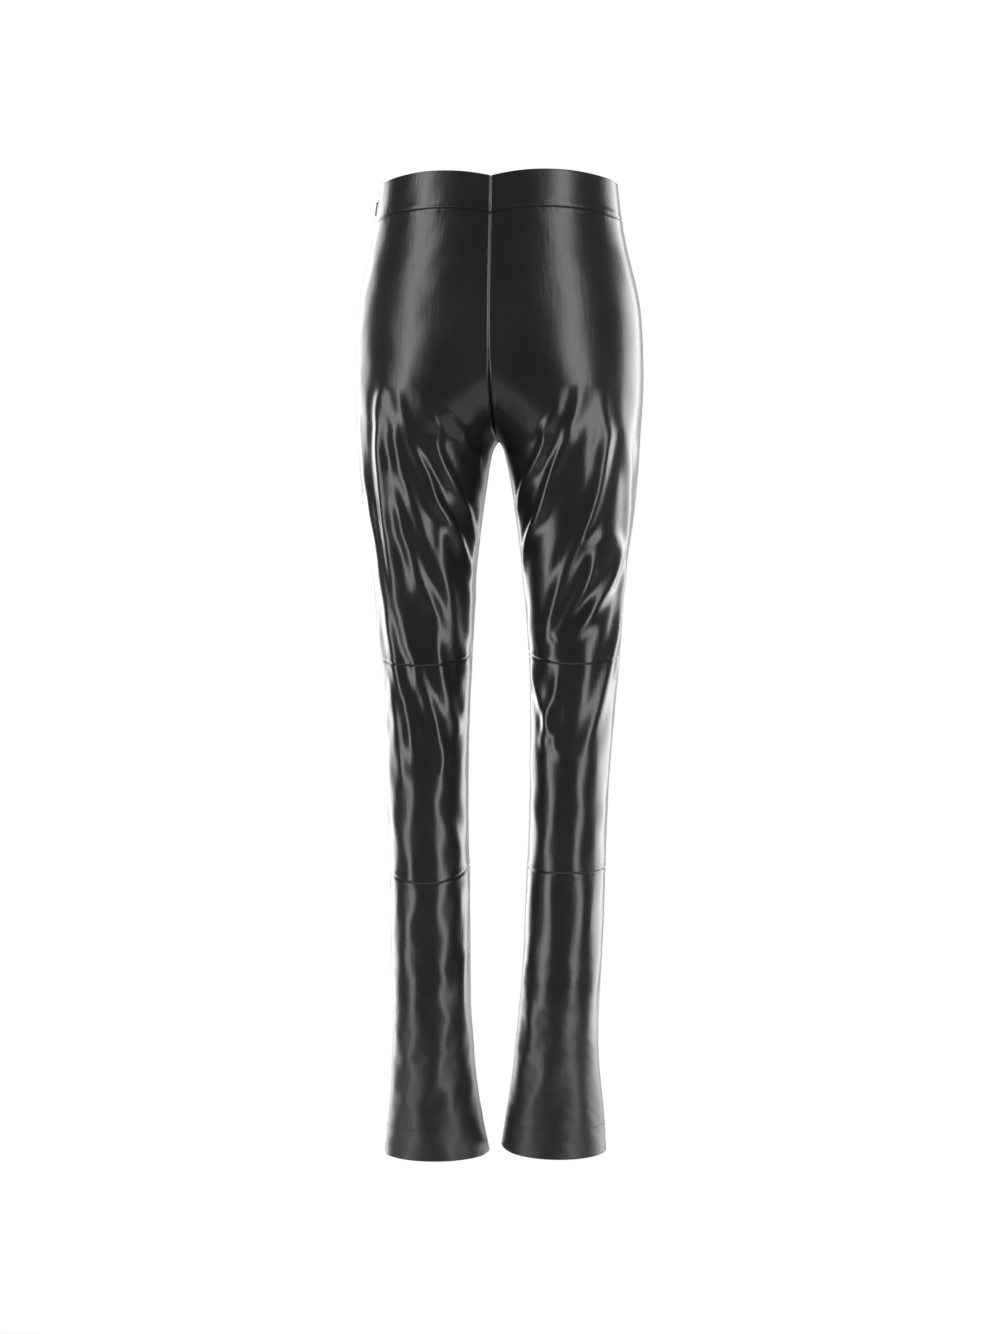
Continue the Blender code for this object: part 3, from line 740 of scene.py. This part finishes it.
def leather_material():
    """Glossy black leather: smooth at the seat, drier towards the hems, with a fine grain."""
    material, tree, add, shader = node_tools("black_leather_fine")
    link = tree.links.new
    place = add("TexCoord")
    cloud = add("TexNoise")
    cloud.inputs["Scale"].default_value = 14
    cloud.inputs["Detail"].default_value = 5
    link(place.outputs["Object"], cloud.inputs["Vector"])
    colour = add("ValToRGB")
    colour.color_ramp.elements[0].position = 0.30
    colour.color_ramp.elements[0].color = (0.0085, 0.0088, 0.0098, 1)
    colour.color_ramp.elements[1].position = 0.75
    colour.color_ramp.elements[1].color = (0.0150, 0.0155, 0.0170, 1)
    link(cloud.outputs["Fac"], colour.inputs["Fac"])
    link(colour.outputs["Color"], shader.inputs["Base Color"])
    axes = add("SeparateXYZ")
    link(place.outputs["Object"], axes.inputs["Vector"])
    dry = add("MapRange", interpolation_type="SMOOTHSTEP")
    dry.inputs["From Min"].default_value = -0.80
    dry.inputs["From Max"].default_value = -1.08
    dry.inputs["To Min"].default_value = 0.23
    dry.inputs["To Max"].default_value = 0.44
    link(axes.outputs["Z"], dry.inputs["Value"])
    vary = add("MapRange")
    vary.inputs["To Min"].default_value = -0.05
    vary.inputs["To Max"].default_value = 0.07
    link(cloud.outputs["Fac"], vary.inputs["Value"])
    rough = add("Math", operation="ADD")
    link(dry.outputs["Result"], rough.inputs[0])
    link(vary.outputs["Result"], rough.inputs[1])
    link(rough.outputs["Value"], shader.inputs["Roughness"])
    grain = add("TexVoronoi", feature="SMOOTH_F1")
    grain.inputs["Scale"].default_value = 900
    link(place.outputs["Object"], grain.inputs["Vector"])
    stretch = add("Mapping")
    stretch.inputs["Scale"].default_value = (1.0, 1.0, 0.12)
    link(place.outputs["Object"], stretch.inputs["Vector"])
    streak = add("TexNoise")
    streak.inputs["Scale"].default_value = 260
    streak.inputs["Detail"].default_value = 3
    link(stretch.outputs["Vector"], streak.inputs["Vector"])
    fine = add("Bump")
    fine.inputs["Strength"].default_value = 0.16
    fine.inputs["Distance"].default_value = 0.0004
    link(grain.outputs["Distance"], fine.inputs["Height"])
    broad = add("Bump")
    broad.inputs["Strength"].default_value = 0.22
    broad.inputs["Distance"].default_value = 0.0006
    link(streak.outputs["Fac"], broad.inputs["Height"])
    link(fine.outputs["Normal"], broad.inputs["Normal"])
    link(broad.outputs["Normal"], shader.inputs["Normal"])
    shader.inputs["IOR"].default_value = 1.52
    return material


def woven_material(name, colour, scale, roughness):
    material, tree, add, shader = node_tools(name)
    link = tree.links.new
    place = add("TexCoord")
    weave = add("TexWave", bands_direction="Z")
    weave.inputs["Scale"].default_value = scale
    link(place.outputs["Object"], weave.inputs["Vector"])
    ramp = add("ValToRGB")
    ramp.color_ramp.elements[0].color = (*[0.6 * c for c in colour], 1)
    ramp.color_ramp.elements[1].color = (*colour, 1)
    link(weave.outputs["Fac"], ramp.inputs["Fac"])
    link(ramp.outputs["Color"], shader.inputs["Base Color"])
    bump = add("Bump")
    bump.inputs["Strength"].default_value = 0.4
    bump.inputs["Distance"].default_value = 0.0003
    link(weave.outputs["Fac"], bump.inputs["Height"])
    link(bump.outputs["Normal"], shader.inputs["Normal"])
    shader.inputs["Roughness"].default_value = roughness
    return material


def metal_material():
    material, tree, add, shader = node_tools("dark_zip_metal")
    link = tree.links.new
    place = add("TexCoord")
    wear = add("TexNoise")
    wear.inputs["Scale"].default_value = 700
    link(place.outputs["Object"], wear.inputs["Vector"])
    ramp = add("ValToRGB")
    ramp.color_ramp.elements[0].color = (0.020, 0.020, 0.022, 1)
    ramp.color_ramp.elements[1].color = (0.060, 0.060, 0.064, 1)
    link(wear.outputs["Fac"], ramp.inputs["Fac"])
    link(ramp.outputs["Color"], shader.inputs["Base Color"])
    rough = add("MapRange")
    rough.inputs["To Min"].default_value = 0.25
    rough.inputs["To Max"].default_value = 0.45
    link(wear.outputs["Fac"], rough.inputs["Value"])
    link(rough.outputs["Result"], shader.inputs["Roughness"])
    shader.inputs["Metallic"].default_value = 0.9
    return material


def beads(name, centres, along, out, size, material):
    """A row of small rounded bars, joined into one mesh. size is (length, width, height)."""
    around = np.linspace(0, 2 * math.pi, BEAD_SIDES + 1)[:-1]
    side = np.cross(along, out)
    rings = []
    for place, share in ((-0.5, 0.45), (-0.32, 1.0), (0.32, 1.0), (0.5, 0.45)):
        for angle in around:
            rings.append(
                centres
                + along * size[0] * place
                + side * size[1] / 2 * share * math.cos(angle)
                + out * size[2] / 2 * share * math.sin(angle)
            )
    points = np.stack(rings, axis=1)
    faces = []
    for k in range(3):
        for n in range(BEAD_SIDES):
            m = (n + 1) % BEAD_SIDES
            low, high = k * BEAD_SIDES, (k + 1) * BEAD_SIDES
            faces.append((low + n, low + m, high + m, high + n))
    faces = np.array(faces + [(0, 5, 4, 3), (0, 3, 2, 1), (18, 19, 20, 21), (18, 21, 22, 23)])
    count = points.shape[1]
    every = (faces[None] + np.arange(len(centres))[:, None, None] * count).reshape(-1, 4)
    return mesh_object(name, points.reshape(-1, 3), every, material)


def hem_stitches(half, facing, outer, material, name):
    """One row of stitches that holds the turned-up hem."""
    row = int(np.argmin(np.abs(outer[:, outer.shape[1] // 2, 2] - HEM_STITCH_Z[half])))
    line = outer[row]
    normal = grid_normals(outer, half, facing)[row]
    lengths = np.concatenate([[0], np.cumsum(np.linalg.norm(np.diff(line, axis=0), axis=-1))])
    places = np.arange(0.004, lengths[-1] - 0.003, STITCH_SPACING)
    centres = np.stack([np.interp(places, lengths, line[:, k]) for k in range(3)], axis=-1)
    ahead = np.stack([np.interp(places + 0.001, lengths, line[:, k]) for k in range(3)], axis=-1)
    out = np.stack([np.interp(places, lengths, normal[:, k]) for k in range(3)], axis=-1)
    out /= np.linalg.norm(out, axis=-1, keepdims=True)
    along = ahead - centres
    along /= np.linalg.norm(along, axis=-1, keepdims=True)
    return beads(name, centres + out * STITCH_LIFT, along, out, STITCH_SIZE, material)


def zip_tape_piece(fabric):
    """A woven strip inside the left side seam."""
    z = np.linspace(TAPE_TOP, TAPE_BOTTOM, 80)
    strips = []
    for facing, distances in ((BACK, (0.009, 0.006, 0.003)), (FRONT, (0.0, 0.003, 0.006, 0.009))):
        for distance in distances:
            across = distance / reach_at(LEFT, facing, z)
            grid_z = np.stack([z, z], axis=1)
            grid_a = np.stack([across, across + 0.01], axis=1)
            base = smooth_point(LEFT, facing, grid_z, grid_a)
            normal = grid_normals(base, LEFT, facing)
            strips.append((base[:, 0], normal[:, 0]))
    points = np.stack([s[0] for s in strips], axis=1)
    out = np.stack([s[1] for s in strips], axis=1)
    outer = points - out * TAPE_DEPTH
    inner = points - out * TAPE_BACK_DEPTH
    piece = sheet_object("zip_tape_woven", outer, inner, 1, fabric)
    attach(piece, "trousers")
    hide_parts("zip_tape")
    teeth_z = np.arange(TAPE_TOP - 0.004, TAPE_BOTTOM + 0.004, -COIL_SPACING)
    centre = np.stack([np.interp(-teeth_z, -z, inner[:, 3, k]) for k in range(3)], axis=-1)
    out_row = np.tile(out[0, 3], (len(teeth_z), 1))
    along = np.tile([0.0, 1.0, 0.0], (len(teeth_z), 1))
    teeth = beads("zip_coil", centre - out_row * 0.0004, along, out_row, COIL_SIZE, fabric)
    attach(teeth, "trousers")
    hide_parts("zip_tape")


def build_garment():
    leather = leather_material()
    thread = woven_material("black_thread", (0.030, 0.030, 0.032), 900, 0.55)
    fabric = woven_material("zip_fabric_woven", (0.022, 0.022, 0.024), 700, 0.85)
    sides = {LEFT: "left", RIGHT: "right"}
    faces = {BACK: "back", FRONT: "front"}
    for half, side in sides.items():
        outer, inner = band_panel(half, BACK)
        piece = sheet_object(f"leather_waistband_back_{side}", outer, inner, half * BACK, leather)
        declare_leather(piece, f"waistband_back_{side}")
        for facing, face in faces.items():
            for part, maker, held in (
                ("upper_leg", upper_panel, "stretched"),
                ("mid_leg", middle_panel, "stretched"),
                ("lower_leg", lower_panel, "hung"),
            ):
                outer, inner = maker(half, facing)
                name = f"{face}_{part}_{side}"
                piece = sheet_object("leather_" + name, outer, inner, half * facing, leather)
                declare_leather(piece, name)
                if part == "lower_leg":
                    stitches = hem_stitches(half, facing, outer, thread, f"hem_stitches_{face}_{side}")
                    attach(stitches, "trousers")
                    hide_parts(name)
    left_outer, left_inner = band_panel(LEFT, FRONT)
    right_outer, right_inner = band_panel(RIGHT, FRONT)
    grids = []
    for of_left, of_right in ((left_outer, right_outer), (left_inner, right_inner)):
        flat_left = of_left[:, :-8]
        flat_right = of_right[:, :-8][:, ::-1]
        centre = (of_left[:, -9:-8] + of_right[:, -9:-8]) / 2
        grids.append(np.concatenate([flat_left, centre, flat_right], axis=1))
    piece = sheet_object("leather_waistband_front", grids[0], grids[1], LEFT * FRONT, leather)
    declare_leather(piece, "waistband_front")
    zip_tape_piece(fabric)
    metal = metal_material()
    for name in ("zip_slider", "zip_pull"):
        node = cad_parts[name]
        node.data.materials.clear()
        node.data.materials.append(metal)


def soft_light(name, azimuth, distance, z, width, height, strength):
    """A tall soft light. azimuth is in degrees from the middle of the back towards the wearer's left."""
    data = bpy.data.lights.new(name, "AREA")
    data.shape = "RECTANGLE"
    data.size = width
    data.size_y = height
    data.energy = strength * width * height * math.pi
    light = bpy.data.objects.new(name, data)
    turn = math.radians(azimuth)
    light.location = (distance * math.sin(turn), distance * math.cos(turn), z)
    aim = Vector((0, 0, z)) - light.location
    light.rotation_euler = aim.to_track_quat("-Z", "Y").to_euler()
    light.visible_camera = False
    bpy.context.scene.collection.objects.link(light)


def studio():
    scene = bpy.context.scene
    scene.view_settings.view_transform = "Standard"
    world = bpy.data.worlds.new("studio")
    scene.world = world
    world.use_nodes = True
    tree = world.node_tree
    background = tree.nodes["Background"]
    place = tree.nodes.new("ShaderNodeTexCoord")
    axes = tree.nodes.new("ShaderNodeSeparateXYZ")
    tree.links.new(place.outputs["Generated"], axes.inputs["Vector"])
    behind = tree.nodes.new("ShaderNodeMapRange")
    behind.interpolation_type = "SMOOTHSTEP"
    behind.inputs["From Min"].default_value = -0.45
    behind.inputs["From Max"].default_value = -0.85
    behind.inputs["To Min"].default_value = 0.17
    behind.inputs["To Max"].default_value = 1.0
    tree.links.new(axes.outputs["Y"], behind.inputs["Value"])
    rays = tree.nodes.new("ShaderNodeLightPath")
    brighter = tree.nodes.new("ShaderNodeMath")
    brighter.operation = "MAXIMUM"
    tree.links.new(behind.outputs["Result"], brighter.inputs[0])
    tree.links.new(rays.outputs["Is Camera Ray"], brighter.inputs[1])
    tree.links.new(brighter.outputs["Value"], background.inputs["Strength"])
    background.inputs["Color"].default_value = (1, 1, 1, 1)
    for values in SOFT_LIGHTS:
        soft_light(*values)
    bpy.ops.mesh.primitive_plane_add(size=FLOOR_SIZE, location=FLOOR_PLACE)
    floor = bpy.context.object
    floor.name = "studio_floor"
    material, tree, add, shader = node_tools("floor_paint")
    noise = add("TexNoise")
    ramp = add("ValToRGB")
    ramp.color_ramp.elements[0].color = (0.86, 0.86, 0.86, 1)
    ramp.color_ramp.elements[1].color = (0.90, 0.90, 0.90, 1)
    tree.links.new(noise.outputs["Fac"], ramp.inputs["Fac"])
    tree.links.new(ramp.outputs["Color"], shader.inputs["Base Color"])
    shader.inputs["Roughness"].default_value = 0.8
    floor.data.materials.append(material)


def camera():
    turn = math.radians(CAMERA_TURN)
    target = Vector((-CAMERA_ASIDE * math.cos(turn), -CAMERA_ASIDE * math.sin(turn), CAMERA_HEIGHT))
    data = bpy.data.cameras.new("camera")
    data.lens = LENS
    data.sensor_width = SENSOR
    eye = bpy.data.objects.new("camera", data)
    eye.location = target + CAMERA_DISTANCE * Vector((-math.sin(turn), math.cos(turn), 0))
    eye.rotation_euler = (target - eye.location).to_track_quat("-Z", "Y").to_euler()
    bpy.context.scene.collection.objects.link(eye)
    bpy.context.scene.camera = eye


build_garment()
studio()
camera()
